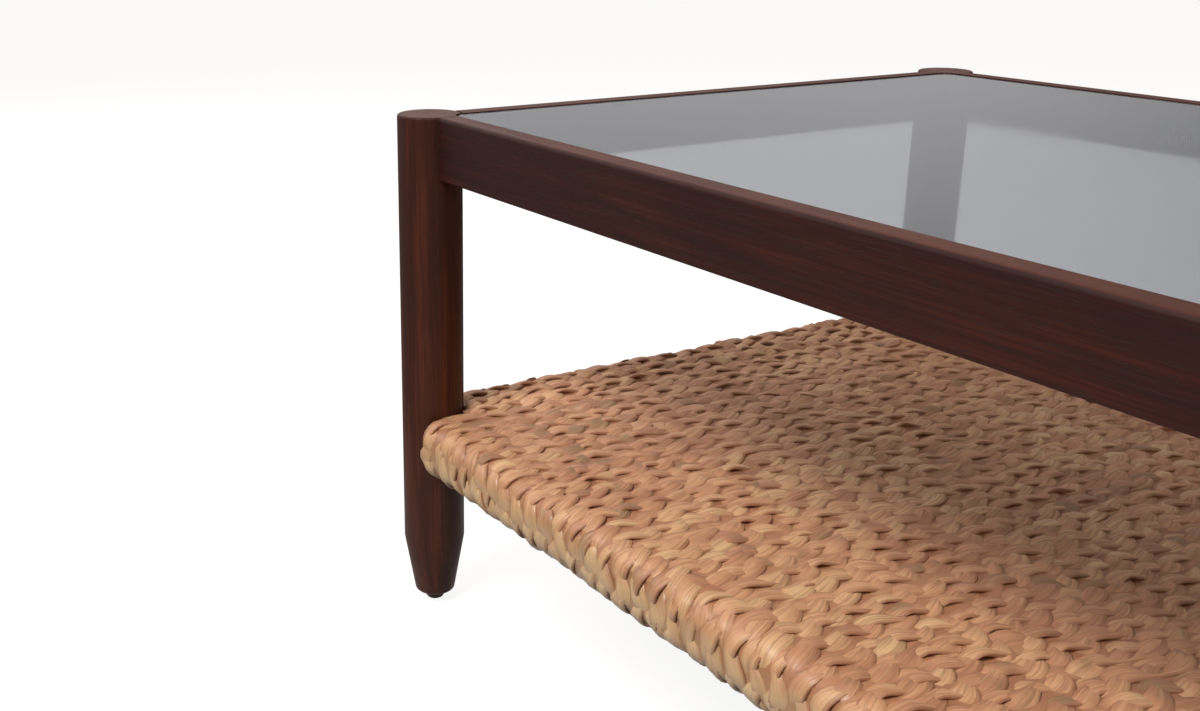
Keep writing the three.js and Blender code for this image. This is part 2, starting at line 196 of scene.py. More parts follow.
def makeCamera(values):
    bpy.ops.object.camera_add(location=values["place"])
    camera = bpy.context.object
    camera.name = "camera"
    turn = Matrix.Rotation(math.radians(values["turn"]), 4, "Z")
    tilt = Matrix.Rotation(math.radians(90 - values["tilt"]), 4, "X")
    roll = Matrix.Rotation(math.radians(values["roll"]), 4, "Z")
    camera.matrix_world = Matrix.Translation(values["place"]) @ turn @ tilt @ roll
    camera.data.sensor_width = values["sensor"]
    camera.data.lens = values["lens"]
    camera.data.shift_x = values["shiftX"]
    camera.data.clip_start = values["nearest"]
    scene.camera = camera


def makeLamp(name, values):
    bpy.ops.object.light_add(type="AREA", location=values["from"])
    lamp = bpy.context.object
    lamp.name = name
    aim = Vector(values["aim"]) - Vector(values["from"])
    lamp.rotation_euler = aim.to_track_quat("-Z", "Y").to_euler()
    lamp.data.size = values["size"]
    lamp.data.energy = values["power"]
    lamp.data.color = values["tint"]


# the camera, and what is seen through the glass, get the white background
def whiteShare(tree):
    path = addNode(tree, "ShaderNodeLightPath").outputs
    white = plus(tree, path["Is Camera Ray"], path["Is Transmission Ray"], clamp=True)
    return white, path["Is Glossy Ray"]


# the room lights the table from a bright wall on its left and a dim one on its right
def makeWorld(values):
    world = bpy.data.worlds.new("paleStudio")
    scene.world = world
    world.use_nodes = True
    tree = world.node_tree
    direction = addNode(tree, "ShaderNodeTexCoord").outputs["Generated"]
    leftShare = rangeNode(tree, axisOf(tree, direction, "X"), values["wallStart"], values["wallEnd"])
    room = mixColour(tree, leftShare, values["wallRight"], values["wallLeft"])
    white, glossy = whiteShare(tree)
    tint = mixColour(tree, glossy, values["fillTint"], values["mirroredTint"])
    fill = mixColour(tree, 1.0, room, tint, "MULTIPLY")
    colour = mixColour(tree, white, fill, values["skyColour"])
    feed(tree, tree.nodes["Background"], {"Color": colour})


# a glow that only the camera and the glass see lifts the floor to white and leaves its shadow;
# reflections in the wood and the plaits see it near the table only
def makeFloor(values):
    steps = values["floorSteps"]
    bpy.ops.mesh.primitive_grid_add(x_subdivisions=steps, y_subdivisions=steps, size=values["floorSize"])
    floor = bpy.context.object
    floor.name = "studio_floor"
    material, tree, shader = startMaterial("paleFloor")
    feed(tree, shader, {"Base Color": values["floorColour"], "Roughness": values["floorRoughness"]})
    feed(tree, shader, {"Specular IOR Level": values["floorShine"]})
    white, glossy = whiteShare(tree)
    distance = addNode(tree, "ShaderNodeVectorMath", operation="LENGTH")
    feed(tree, distance, {0: objectPlace(tree)})
    pool = rangeNode(
        tree, distance.outputs["Value"], values["poolEnd"], values["poolStart"], 0.0, values["floorMirrored"]
    )
    glow = addNode(tree, "ShaderNodeEmission")
    strength = plus(tree, times(tree, white, values["floorGlow"]), times(tree, glossy, pool))
    feed(tree, glow, {"Strength": strength})
    both = addNode(tree, "ShaderNodeAddShader")
    feed(tree, both, {0: shader.outputs[0], 1: glow.outputs[0]})
    feed(tree, tree.nodes["Material Output"], {"Surface": both.outputs[0]})
    floor.data.materials.append(material)


deselectAll()
makeCamera(cameraSettings)
makeWorld(stageSettings)
makeFloor(stageSettings)
for lampName, lampValues in lampSettings.items():
    makeLamp(lampName, lampValues)
scene.view_settings.view_transform = "Standard"
print("camera, lamps and floor set")

# effects that several finishes use. a noise is its scales across and along, detail, roughness and bend,
# without the scales where a finish sets them, and its edges are the two values between which it sets in

grainSettings = {
    "streakNoise": (5.0, 0.6, 0.5),
    "streakEdges": (0.36, 0.66),
    "streakRelief": 0.35,
    "fibreNoise": (480.0, 9.0, 3.0, 0.6),
    "fibreEdges": (0.38, 0.62),
    "fibreRelief": 0.25,
    "poreNoise": (1500.0, 75.0, 1.0, 0.4),
    "poreEdges": (0.60, 0.72),
    "poreColour": (0.010, 0.006, 0.005, 1),
    "poreRoughness": 0.15,
    "blotchNoise": (15.0, 5.0, 2.0, 0.5, 0.4),
    "blotchEdges": (0.45, 0.68),
    "roughness": (0.3, 0.7, 0.05, -0.05),  # streak values, and the roughness that they add
}

mottleSettings = {
    "broadNoise": (4.0, 0.6),
    "broadEdges": (0.3, 0.7),
    "broadRelief": 0.7,
    "speckNoise": (2600.0, 2600.0, 1.0, 0.5),
    "speckRelief": 0.3,
}


def newGroup(name, inputs, outputs):
    group = bpy.data.node_groups.new(name, "ShaderNodeTree")
    for way, sockets in (("INPUT", inputs), ("OUTPUT", outputs)):
        for socketName, kind in sockets.items():
            group.interface.new_socket(socketName, in_out=way, socket_type="NodeSocket" + kind)
    return group, addNode(group, "NodeGroupInput").outputs, addNode(group, "NodeGroupOutput")


# grain that runs along the Z of its vector: streaks, blotches of stain and short dark pores
def makeGrainGroup(values):
    group, given, made = newGroup(
        "woodGrain",
        {
            "Vector": "Vector",
            "Dark": "Color",
            "Light": "Color",
            "Glow": "Color",
            "Streak Across": "Float",
            "Streak Along": "Float",
            "Fibre Depth": "Float",
            "Pore Depth": "Float",
            "Glow Amount": "Float",
            "Base Roughness": "Float",
        },
        {"Color": "Color", "Roughness": "Float", "Height": "Float"},
    )
    vector = given["Vector"]
    scales = given["Streak Across"], given["Streak Along"]
    streak = stretchedNoise(group, vector, *scales, *values["streakNoise"])
    fibre = stretchedNoise(group, vector, *values["fibreNoise"])
    pore = rangeNode(group, stretchedNoise(group, vector, *values["poreNoise"]), *values["poreEdges"])
    blotch = rangeNode(group, stretchedNoise(group, vector, *values["blotchNoise"]), *values["blotchEdges"])
    light = rangeNode(group, streak, *values["streakEdges"])
    body = mixColour(group, light, given["Dark"], given["Light"])
    warm = times(group, times(group, blotch, light), given["Glow Amount"])
    body = mixColour(group, warm, body, given["Glow"])
    darkFibre = rangeNode(group, fibre, *values["fibreEdges"], 0.0, given["Fibre Depth"])
    body = mixColour(group, darkFibre, body, given["Dark"])
    poreDepth = times(group, pore, given["Pore Depth"])
    body = mixColour(group, poreDepth, body, values["poreColour"])
    rough = plus(group, given["Base Roughness"], rangeNode(group, streak, *values["roughness"]))
    rough = plus(group, rough, times(group, pore, values["poreRoughness"]))
    relief = times(group, streak, values["streakRelief"])
    relief = plus(group, relief, times(group, fibre, values["fibreRelief"]))
    relief = mathNode(group, "SUBTRACT", relief, poreDepth)
    feed(group, made, {"Color": body, "Roughness": rough, "Height": relief})
    return group


# fine unevenness of a moulded, ground or handled surface
def makeMottleGroup(values):
    group, given, made = newGroup(
        "fineMottle",
        {"Vector": "Vector", "Scale": "Float", "Low Roughness": "Float", "High Roughness": "Float"},
        {"Roughness": "Float", "Height": "Float"},
    )
    vector = given["Vector"]
    broad = stretchedNoise(group, vector, given["Scale"], given["Scale"], *values["broadNoise"])
    speck = stretchedNoise(group, vector, *values["speckNoise"])
    rough = rangeNode(group, broad, *values["broadEdges"], given["Low Roughness"], given["High Roughness"])
    relief = times(group, broad, values["broadRelief"])
    relief = plus(group, relief, times(group, speck, values["speckRelief"]))
    feed(group, made, {"Roughness": rough, "Height": relief})
    return group


grainGroup = makeGrainGroup(grainSettings)
mottleGroup = makeMottleGroup(mottleSettings)


def placeGroup(tree, group, vector, values):
    node = addNode(tree, "ShaderNodeGroup", node_tree=group)
    feed(tree, node, {"Vector": vector, **values})
    return node.outputs


# wood

grainTurns = {
    "up": (0, 0, 0),
    "alongX": (0, math.pi / 2, 0),
    "alongY": (math.pi / 2, 0, 0),
}

woodFinishes = {
    "stainedLeg": {
        "Dark": (0.0380, 0.0104, 0.0066, 1),
        "Light": (0.0980, 0.0245, 0.0102, 1),
        "Glow": (0.1500, 0.0350, 0.0108, 1),
        "Streak Across": 95.0,
        "Streak Along": 4.0,
        "Fibre Depth": 0.60,
        "Pore Depth": 0.30,
        "Glow Amount": 0.7,
        "Base Roughness": 0.46,
    },
    "stainedRail": {
        "Dark": (0.0240, 0.0054, 0.0044, 1),
        "Light": (0.0380, 0.0082, 0.0056, 1),
        "Glow": (0.0700, 0.0150, 0.0060, 1),
        "Streak Across": 130.0,
        "Streak Along": 6.0,
        "Fibre Depth": 0.60,
        "Pore Depth": 0.50,
        "Glow Amount": 0.60,
        "Base Roughness": 0.50,
    },
    "plainWood": {
        "Dark": (0.27, 0.16, 0.075, 1),
        "Light": (0.47, 0.31, 0.16, 1),
        "Glow": (0.52, 0.34, 0.17, 1),
        "Streak Across": 160.0,
        "Streak Along": 6.0,
        "Fibre Depth": 0.35,
        "Pore Depth": 0.25,
        "Glow Amount": 0.4,
        "Base Roughness": 0.68,
    },
    "plywood": {
        "Dark": (0.38, 0.25, 0.13, 1),
        "Light": (0.60, 0.43, 0.24, 1),
        "Glow": (0.62, 0.46, 0.28, 1),
        "Streak Across": 40.0,
        "Streak Along": 5.0,
        "Fibre Depth": 0.25,
        "Pore Depth": 0.2,
        "Glow Amount": 0.5,
        "Base Roughness": 0.72,
    },
}
woodShine = {"stainedLeg": 0.26, "stainedRail": 0.26, "plainWood": 0.3, "plywood": 0.3}
woodBump = (0.35, 0.0004)

# the faces that look up are painted lighter in patches, a painted top light for the light from above,
# and the rounds beside them are made duller; facing, dullFrom and dullTo are how far a face looks up, from 0
# to 1
paintedTopLightAndDullSettings = {
    # the lighter colour of the painted top light
    "colour": (0.095, 0.027, 0.015, 1),
    "facing": (0.72, 1.0),
    "patchNoise": (24.0, 24.0, 2.0, 0.5),
    "patches": (0.30, 0.70, 0.62, 0.92),  # noise values, and how much lighter the painted top light makes them
    "dullFrom": (0.1, 0.3),
    "dullTo": (1.0, 0.95),
    "dullness": 0.2,
}


def paintTopLightAndDull(tree, colour, rough, values):
    place = addNode(tree, "ShaderNodeTexCoord").outputs
    upwards = axisOf(tree, place["Normal"], "Z")
    patchy = stretchedNoise(tree, place["Object"], *values["patchNoise"])
    paintedTopLight = rangeNode(tree, upwards, *values["facing"])
    paintedTopLight = times(tree, paintedTopLight, rangeNode(tree, patchy, *values["patches"]))
    dulled = rangeNode(tree, upwards, *values["dullFrom"])
    dulled = times(tree, dulled, rangeNode(tree, upwards, *values["dullTo"]))
    rough = plus(tree, rough, times(tree, dulled, values["dullness"]))
    return mixColour(tree, paintedTopLight, colour, values["colour"]), rough


def makeWood(finish, direction):
    material, tree, shader = startMaterial(finish + "_" + direction)
    turn = addNode(tree, "ShaderNodeMapping")
    feed(tree, turn, {"Vector": objectPlace(tree), "Rotation": grainTurns[direction]})
    grain = placeGroup(tree, grainGroup, turn.outputs["Vector"], woodFinishes[finish])
    colour, rough = grain["Color"], grain["Roughness"]
    # the tops of stained wood get a painted top light
    if finish.startswith("stained"):
        colour, rough = paintTopLightAndDull(tree, colour, rough, paintedTopLightAndDullSettings)
    feed(tree, shader, {"Base Color": colour, "Roughness": rough, "Specular IOR Level": woodShine[finish]})
    bumpFrom(tree, shader, grain["Height"], *woodBump)
    return material


# glass and plastic

mottledFinishes = {
    "smokedGlass": {
        "mottle": {"Scale": 9.0, "Low Roughness": 0.0, "High Roughness": 0.035},
        "bump": (0.02, 0.00005),
        "shader": {"Base Color": (0.333, 0.341, 0.368, 1), "IOR": 1.5, "Transmission Weight": 1.0},
    },
    "clearSilicone": {
        "mottle": {"Scale": 300.0, "Low Roughness": 0.25, "High Roughness": 0.45},
        "bump": (0.1, 0.0001),
        "shader": {"Base Color": (0.75, 0.77, 0.77, 1), "IOR": 1.41, "Transmission Weight": 0.9},
    },
    "brownNylon": {
        "mottle": {"Scale": 220.0, "Low Roughness": 0.38, "High Roughness": 0.60},
        "bump": (0.25, 0.0002),
        "shader": {"Specular IOR Level": 0.3},
        "plain": (0.040, 0.018, 0.012, 1),
        "scuffed": (0.075, 0.036, 0.025, 1),
        "scuffNoise": (500.0, 500.0, 3.0, 0.6),
        "scuffEdges": (0.4, 0.7),
    },
}


def makeMottled(name):
    values = mottledFinishes[name]
    material, tree, shader = startMaterial(name)
    place = objectPlace(tree)
    mottle = placeGroup(tree, mottleGroup, place, values["mottle"])
    feed(tree, shader, {"Roughness": mottle["Roughness"], **values["shader"]})
    bumpFrom(tree, shader, mottle["Height"], *values["bump"])
    if "scuffed" in values:
        scuff = rangeNode(tree, stretchedNoise(tree, place, *values["scuffNoise"]), *values["scuffEdges"])
        feed(tree, shader, {"Base Color": mixColour(tree, scuff, values["plain"], values["scuffed"])})
    return material


# plaited stalks

plaitFinish = {
    "olive": (0.300, 0.165, 0.080, 1),  # the stalks run from olive over brown and peach to straw
    "brown": (0.430, 0.188, 0.098, 1),
    "brownPlace": 0.22,
    "peach": (0.560, 0.274, 0.140, 1),
    "peachPlace": 0.55,
    "straw": (0.650, 0.405, 0.205, 1),
    # darker colour of the fibre streaks, and of the painted shade in the grooves
    "fibreStreakAndGrooveShade": (0.260, 0.118, 0.058, 1),
    # the colour of the painted shade in the slits, where stalks dive under their neighbours and along the
    # leaf edges
    "slitShade": (0.300, 0.112, 0.050, 1),
    # paler straw lower down: partly the stalks' own colour, partly a painted sheen on the lit front and bend
    "paleAndSheen": (0.680, 0.490, 0.275, 1),
    "fineNoise": (1500.0, 22.0, 3.0, 0.6),
    "ridgeNoise": (520.0, 16.0, 2.0, 0.55),
    "patchNoise": (90.0, 26.0, 3.0, 0.6),
    "batchNoise": (7.0, 7.0, 2.0, 0.5),
    # from here on a tuple of four is two values that are read, and what each of them sets
    "patchTone": (0.3, 0.7, -0.24, 0.24),
    "batchTone": (0.3, 0.7, -0.14, 0.14),
    "fineDark": (0.44, 0.66, 0.0, 0.60),
    # the grooves between the ridges painted darker, a painted shade
    "grooveShade": (0.32, 0.48, 0.42, 0.0),
    # the crests of the ridges painted straw, a painted highlight
    "crestHighlight": (0.52, 0.68, 0.0, 0.30),
    "paleAndSheenFrom": -0.0025,  # these four are heights from the top of the shelf
    "paleAndSheenTo": -0.0335,
    "dullFrom": -0.0095,
    "dullTo": 0.0015,
    "dullness": 0.26,
    "paleAndSheenPatches": (0.25, 0.6, 0.40, 0.80),
    # how far the painted shade darkens stalks where they dive under the others
    "sunkDark": 0.5,
    # how far the leaf edges are painted darker, a painted shade where the leaves meet
    "rimShade": (0.55, 1.0, 0.0, 0.6),
    "roughness": (0.3, 0.7, 0.46, 0.27),
    "shine": 0.62,
    "ridgeRelief": 0.7,
    "fineRelief": 0.3,
    "bump": (1.0, 0.0012),
}


# colour by stalk, with fine fibres along it; the UV map runs round and along the stalks, in metres
def makePlaitMaterial(values):
    material, tree, shader = startMaterial("plaitedHyacinth")
    tone, sunk, rim = (
        addNode(tree, "ShaderNodeAttribute", attribute_name=name).outputs["Fac"]
        for name in ("stalkTone", "sunk", "leafRim")
    )
    stalkMap = addNode(tree, "ShaderNodeUVMap", uv_map="stalkMap").outputs["UV"]
    turn = addNode(tree, "ShaderNodeMapping")
    feed(tree, turn, {"Vector": stalkMap, "Rotation": (math.pi / 2, 0, 0)})
    fine, ridge, patch = (
        stretchedNoise(tree, turn.outputs["Vector"], *values[name])
        for name in ("fineNoise", "ridgeNoise", "patchNoise")
    )
    place = objectPlace(tree)
    batch = stretchedNoise(tree, place, *values["batchNoise"])
    shade = plus(tree, tone, rangeNode(tree, patch, *values["patchTone"]))
    shade = plus(tree, shade, rangeNode(tree, batch, *values["batchTone"]), clamp=True)
    ramp = addNode(tree, "ShaderNodeValToRGB")
    stops = ramp.color_ramp.elements
    stops[0].color, stops[1].color = values["olive"], values["straw"]
    for name in ("brown", "peach"):
        stops.new(values[name + "Place"]).color = values[name]
    feed(tree, ramp, {"Fac": shade})
    colour = ramp.outputs["Color"]
    colour = mixColour(tree, rangeNode(tree, fine, *values["fineDark"]), colour, values["fibreStreakAndGrooveShade"])
    # painted shade in the grooves of the ridges that the bump raises
    colour = mixColour(tree, rangeNode(tree, ridge, *values["grooveShade"]), colour, values["fibreStreakAndGrooveShade"])
    # painted highlight on the crests of those ridges
    colour = mixColour(tree, rangeNode(tree, ridge, *values["crestHighlight"]), colour, values["straw"])
    # the sides and the underside are painted paler and straw coloured, partly a paler colour of the stalks
    # and partly painted light for the sheen and brighter light on the front face and its bend
    height = axisOf(tree, place, "Z")
    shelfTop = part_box("plaited_cover_bay_1")[1].z
    paleAndSheen = rangeNode(tree, height, shelfTop + values["paleAndSheenFrom"], shelfTop + values["paleAndSheenTo"])
    paleAndSheen = times(tree, paleAndSheen, rangeNode(tree, patch, *values["paleAndSheenPatches"]))
    colour = mixColour(tree, paleAndSheen, colour, values["paleAndSheen"])
    # painted shade where the stalks dive under the others, and over the whole core
    colour = mixColour(tree, times(tree, sunk, values["sunkDark"]), colour, values["slitShade"])
    # the edges of each leaf are painted darker, a painted shade where the leaves meet
    colour = mixColour(tree, rangeNode(tree, rim, *values["rimShade"]), colour, values["slitShade"])
    # flat on the shelf they are dry and dull, and over its edges they are drawn tight and shine
    dullFrom, dullTo = shelfTop + values["dullFrom"], shelfTop + values["dullTo"]
    dull = rangeNode(tree, height, dullFrom, dullTo, 0.0, values["dullness"])
    rough = plus(tree, rangeNode(tree, ridge, *values["roughness"]), dull)
    feed(tree, shader, {"Base Color": colour, "Roughness": rough, "Specular IOR Level": values["shine"]})
    relief = times(tree, ridge, values["ridgeRelief"])
    relief = plus(tree, relief, times(tree, fine, values["fineRelief"]))
    bumpFrom(tree, shader, relief, *values["bump"])
    return material


finishes = {
    "stainedUp": makeWood("stainedLeg", "up"),
    "stainedAlongX": makeWood("stainedRail", "alongX"),
    "stainedAlongY": makeWood("stainedRail", "alongY"),
    "plainAlongY": makeWood("plainWood", "alongY"),
    "plywood": makeWood("plywood", "alongX"),
    "glass": makeMottled("smokedGlass"),
    "pad": makeMottled("clearSilicone"),
    "glide": makeMottled("brownNylon"),
    "plait": makePlaitMaterial(plaitFinish),
}
print("finishes made")

# small modelling steps

alignedShare = 0.9  # how much of an edge's direction lies on the axis that it runs along
nearby = 0.0002  # edges this close to a place count as lying there
cutterOverrun = 0.01  # how far a cutter runs past the piece that it cuts


def editStart(piece):
    pick(piece)
    bpy.ops.object.mode_set(mode="EDIT")
    bpy.ops.mesh.select_mode(type="FACE")


def editEnd():
    bpy.ops.object.mode_set(mode="OBJECT")


# selects edges by their middle and their direction
def selectEdges(piece, wanted):
    bpy.ops.mesh.select_mode(type="EDGE")
    bpy.ops.mesh.select_all(action="DESELECT")
    shape = bmesh.from_edit_mesh(piece.data)
    for edge in shape.edges:
        first, second = (vert.co for vert in edge.verts)
        edge.select_set(wanted((first + second) / 2, (second - first).normalized()))
    shape.select_flush_mode()
    bmesh.update_edit_mesh(piece.data)


def bevelSelected(width, steps):
    bpy.ops.mesh.bevel(offset=width, segments=steps, profile=0.5, affect="EDGES")


def addBox(name, low, high):
    low, high = Vector(low), Vector(high)
    deselectAll()
    bpy.ops.mesh.primitive_cube_add(size=1.0, location=(low + high) / 2)
    box = bpy.context.object
    box.name = name
    box.scale = high - low
    bpy.ops.object.transform_apply(location=True, rotation=True, scale=True)
    return box


# a round piece about the Z axis, from its radii and heights
def addTurned(name, profile, sides):
    deselectAll()
    radius, height = profile[0]
    centre = (0, 0, height)
    bpy.ops.mesh.primitive_circle_add(vertices=sides, radius=radius, fill_type="NGON", location=centre)
    turned = bpy.context.object
    turned.name = name
    bpy.ops.object.transform_apply(location=True, rotation=True, scale=True)
    editStart(turned)
    bpy.ops.mesh.select_all(action="SELECT")
    for nextRadius, nextHeight in profile[1:]:
        bpy.ops.mesh.extrude_region_move(TRANSFORM_OT_translate={"value": (0, 0, nextHeight - height)})
        grow = nextRadius / radius
        bpy.ops.transform.resize(value=(grow, grow, 1), center_override=(0, 0, nextHeight))
        radius, height = nextRadius, nextHeight
    bpy.ops.mesh.select_all(action="SELECT")
    bpy.ops.mesh.normals_make_consistent(inside=False)
    editEnd()
    return turned


def quarterRound(centreRadius, centreHeight, radius, fromAngle, toAngle, steps):
    points = []
    for step in range(steps + 1):
        angle = fromAngle + (toAngle - fromAngle) * step / steps
        points.append((centreRadius + radius * math.cos(angle), centreHeight + radius * math.sin(angle)))
    return points


# a copy with a mesh of its own, moved to its place
def copyTo(piece, name, place):
    pick(piece)
    bpy.ops.object.duplicate()
    copied = bpy.context.object
    copied.name = name
    copied.location = (*place, 0)
    bpy.ops.object.transform_apply(location=True, rotation=True, scale=True)
    return copied


def cutWith(piece, cutters, operation="DIFFERENCE"):
    pick(piece)
    for cutter in cutters:
        cut = piece.modifiers.new("cut", "BOOLEAN")
        cut.operation = operation
        cut.solver = "EXACT"
        cut.object = cutter
        bpy.ops.object.modifier_apply(modifier=cut.name)


# rounds are shaded as curved, with normals that lean to the large flat faces and so leave those flat
def smoothByAngle(piece, degrees):
    pick(piece)
    bpy.ops.object.shade_smooth_by_angle(angle=math.radians(degrees))
    weighted = piece.modifiers.new("weighted", "WEIGHTED_NORMAL")
    weighted.keep_sharp = True
    weighted.weight = 100  # by the area of the faces alone
    bpy.ops.object.modifier_apply(modifier=weighted.name)


def finishPiece(piece, finish, slotName, body, *nodes):
    piece.data.materials.clear()
    piece.data.materials.append(finishes[finish])
    for face in piece.data.polygons:
        face.material_index = 0
    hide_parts(*nodes)
    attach(piece, body)


def throwAway(pieces):
    for piece in pieces:
        bpy.data.objects.remove(piece)


# places that legs and rails share

cornerSides = {"front_left": (-1, -1), "front_right": (1, -1), "rear_left": (-1, 1), "rear_right": (1, 1)}


def legAxis(corner):
    low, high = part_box("leg_" + corner)
    middle = (low + high) / 2
    return middle.x, middle.y


def legRadius():
    low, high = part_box("leg_front_left")
    return (high.x - low.x) / 2


# the corners at a rail's ends, and the numbers of the axes along and across it
def railLayout(side):
    along, across = (0, 1) if side in ("front", "rear") else (1, 0)
    return [corner for corner in cornerSides if side in corner], along, across


# rabbet for the glass, and tenons of the rails with their mortises

rabbetSettings = {"depth": 0.008, "landWidth": 0.0176, "cornerRadius": 0.010, "cornerSteps": 8}
jointSettings = {
    "gap": 0.0003,
    "thickness": 0.009,
    "height": 0.028,
    "drop": 0.013,
    "fromLegAxis": 0.013,
    "root": 0.004,
}


def makeRabbetCutter(values):
    low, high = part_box("top_rail_left")[0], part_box("top_rail_right")[1]
    front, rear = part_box("top_rail_front")[0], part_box("top_rail_rear")[1]
    land = values["landWidth"]
    cutter = addBox(
        "rabbet_cutter",
        (low.x + land, front.y + land, high.z - values["depth"]),
        (high.x - land, rear.y - land, high.z + cutterOverrun),
    )
    editStart(cutter)
    selectEdges(cutter, lambda middle, along: abs(along.z) > alignedShare)
    bevelSelected(values["cornerRadius"], values["cornerSteps"])
    editEnd()
    return cutter


# a tenon's box from inside the leg to inside the rail, grown on all sides for its mortise
def tenonBox(name, side, corner, grow):
    values = jointSettings
    _, along, across = railLayout(side)
    axis, sign = legAxis(corner)[along], cornerSides[corner][along]
    tip = axis - sign * values["fromLegAxis"]
    root = axis - sign * (legRadius() + values["root"])
    railLow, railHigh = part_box("top_rail_" + side)
    middle = (railLow[across] + railHigh[across]) / 2
    top = railHigh.z - values["drop"]
    low, high = [0, 0, top - values["height"] - grow], [0, 0, top + grow]
    low[along], high[along] = min(tip, root) - grow, max(tip, root) + grow
    half = values["thickness"] / 2 + grow
    low[across], high[across] = middle - half, middle + half
    return addBox(name, low, high)


rabbetCutter = makeRabbetCutter(rabbetSettings)

# legs

legSettings = {
    "endDiameter": 0.0335,
    "taperLength": 0.051,
    "endRound": 0.004,
    "topRound": 0.002,
    "roundSteps": 5,
    "sides": 96,
    "smoothAngle": 35,
}


def turnLeg(values):
    low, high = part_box("leg_front_left")
    radius, endRound, topRound = legRadius(), values["endRound"], values["topRound"]
    endCentre, steps = values["endDiameter"] / 2 - endRound, values["roundSteps"]
    profile = quarterRound(endCentre, low.z + endRound, endRound, -math.pi / 2, 0, steps)
    profile.append((radius, low.z + values["taperLength"]))
    profile += quarterRound(radius - topRound, high.z - topRound, topRound, 0, math.pi / 2, steps)
    return addTurned("leg_blank", profile, values["sides"])


def makeLeg(corner, blank, values):
    leg = copyTo(blank, "turned_leg_" + corner, legAxis(corner))
    mortises = [
        tenonBox("mortise_" + side, side, corner, jointSettings["gap"])
        for side in corner.split("_")
    ]
    cutWith(leg, [rabbetCutter, *mortises])
    throwAway(mortises)
    smoothByAngle(leg, values["smoothAngle"])
    finishPiece(leg, "stainedUp", "stained_wood", "frame", "leg_" + corner)


legBlank = turnLeg(legSettings)
for corner in cornerSides:
    makeLeg(corner, legBlank, legSettings)
throwAway([legBlank])
print("legs turned")

# foot glides

glideSettings = {
    "flatRadius": 0.0045,
    "rimHeight": 0.003,
    "rimRound": 0.0004,
    "gap": 0.0003,
    "domeSteps": 6,
    "nailRadius": 0.0015,
    "sides": 40,
    "smoothAngle": 40,
}


def turnGlide(values):
    low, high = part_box("foot_glide_front_left")
    radius, flat = (high.x - low.x) / 2, values["flatRadius"]
    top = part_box("leg_front_left")[0].z - values["gap"]
    dome = top - values["rimHeight"] - low.z
    profile = [(flat, low.z)]
    for step in range(1, values["domeSteps"] + 1):
        angle = math.pi / 2 * step / values["domeSteps"]
        profile.append((flat + (radius - flat) * math.sin(angle), low.z + dome * (1 - math.cos(angle))))
    rim, nail = values["rimRound"], values["nailRadius"]
    profile += [(radius, top - rim), (radius - rim, top), (nail, top), (nail, high.z)]
    blank = addTurned("glide_blank", profile, values["sides"])
    smoothByAngle(blank, values["smoothAngle"])
    return blank


glideBlank = turnGlide(glideSettings)
for corner in cornerSides:
    glide = copyTo(glideBlank, "domed_glide_" + corner, legAxis(corner))
    finishPiece(glide, "glide", "dark_plastic", "frame", "foot_glide_" + corner)
throwAway([glideBlank])
print("glides made")

# top rails

railSettings = {
    "topRound": 0.003,
    "topSteps": 6,
    "edgeRound": 0.0012,
    "edgeSteps": 3,
    "innerRound": 0.0006,
    "innerSteps": 2,
    "smoothAngle": 32,
}


# round posts at the corners, that cope the rails to the legs
def makePosts():
    low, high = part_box("top_rail_front")
    radius = legRadius() + jointSettings["gap"]
    profile = [(radius, low.z - cutterOverrun), (radius, high.z + cutterOverrun)]
    blank = addTurned("post_blank", profile, legSettings["sides"])
    posts = {corner: copyTo(blank, "post_" + corner, legAxis(corner)) for corner in cornerSides}
    throwAway([blank])
    return posts


def makeRail(side, posts, values):
    corners, along, across = railLayout(side)
    low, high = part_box("top_rail_" + side)
    outer = (low if side in ("front", "left") else high)[across]
    start, stop = low.copy(), high.copy()
    start[along], stop[along] = sorted(legAxis(corner)[along] for corner in corners)
    rail = addBox("rail_" + side, start, stop)

    # long edges at a height, and at a distance from the rail's outer face where one is given
    def bevelLong(height, inset, width, steps):
        selectEdges(
            rail,
            lambda middle, direction: abs(direction[along]) > alignedShare
            and abs(middle.z - height) < nearby
            and (inset is None or abs(abs(middle[across] - outer) - inset) < nearby),
        )
        bevelSelected(width, steps)

    editStart(rail)
    bevelLong(high.z, 0, values["topRound"], values["topSteps"])
    bevelLong(low.z, None, values["edgeRound"], values["edgeSteps"])
    editEnd()
    cutWith(rail, [rabbetCutter, *(posts[corner] for corner in corners)])
    editStart(rail)
    bevelLong(high.z, rabbetSettings["landWidth"], values["innerRound"], values["innerSteps"])
    editEnd()
    tenons = [tenonBox("tenon_" + corner, side, corner, 0) for corner in corners]
    cutWith(rail, tenons, "UNION")
    throwAway(tenons)
    smoothByAngle(rail, values["smoothAngle"])
    finish = "stainedAlongX" if along == 0 else "stainedAlongY"
    finishPiece(rail, finish, "stained_wood", "frame", "top_rail_" + side)


cornerPosts = makePosts()
for side in ("front", "rear", "left", "right"):
    makeRail(side, cornerPosts, railSettings)
throwAway([rabbetCutter, *cornerPosts.values()])
print("rails made")

# glass panel

glassSettings = {
    "cornerRadius": 0.0092,
    "cornerSteps": 8,
    "arris": 0.0006,
    "arrisSteps": 2,
    "smoothAngle": 20,
}


def makeGlassPanel(values):
    panel = addBox("glass_panel", *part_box("glass_top"))
    editStart(panel)
    selectEdges(panel, lambda middle, along: abs(along.z) > alignedShare)
    bevelSelected(values["cornerRadius"], values["cornerSteps"])
    selectEdges(panel, lambda middle, along: abs(along.z) < 1 - alignedShare)
    bevelSelected(values["arris"], values["arrisSteps"])
    editEnd()
    smoothByAngle(panel, values["smoothAngle"])
    finishPiece(panel, "glass", "smoked_glass", "glass", "glass_top")


makeGlassPanel(glassSettings)

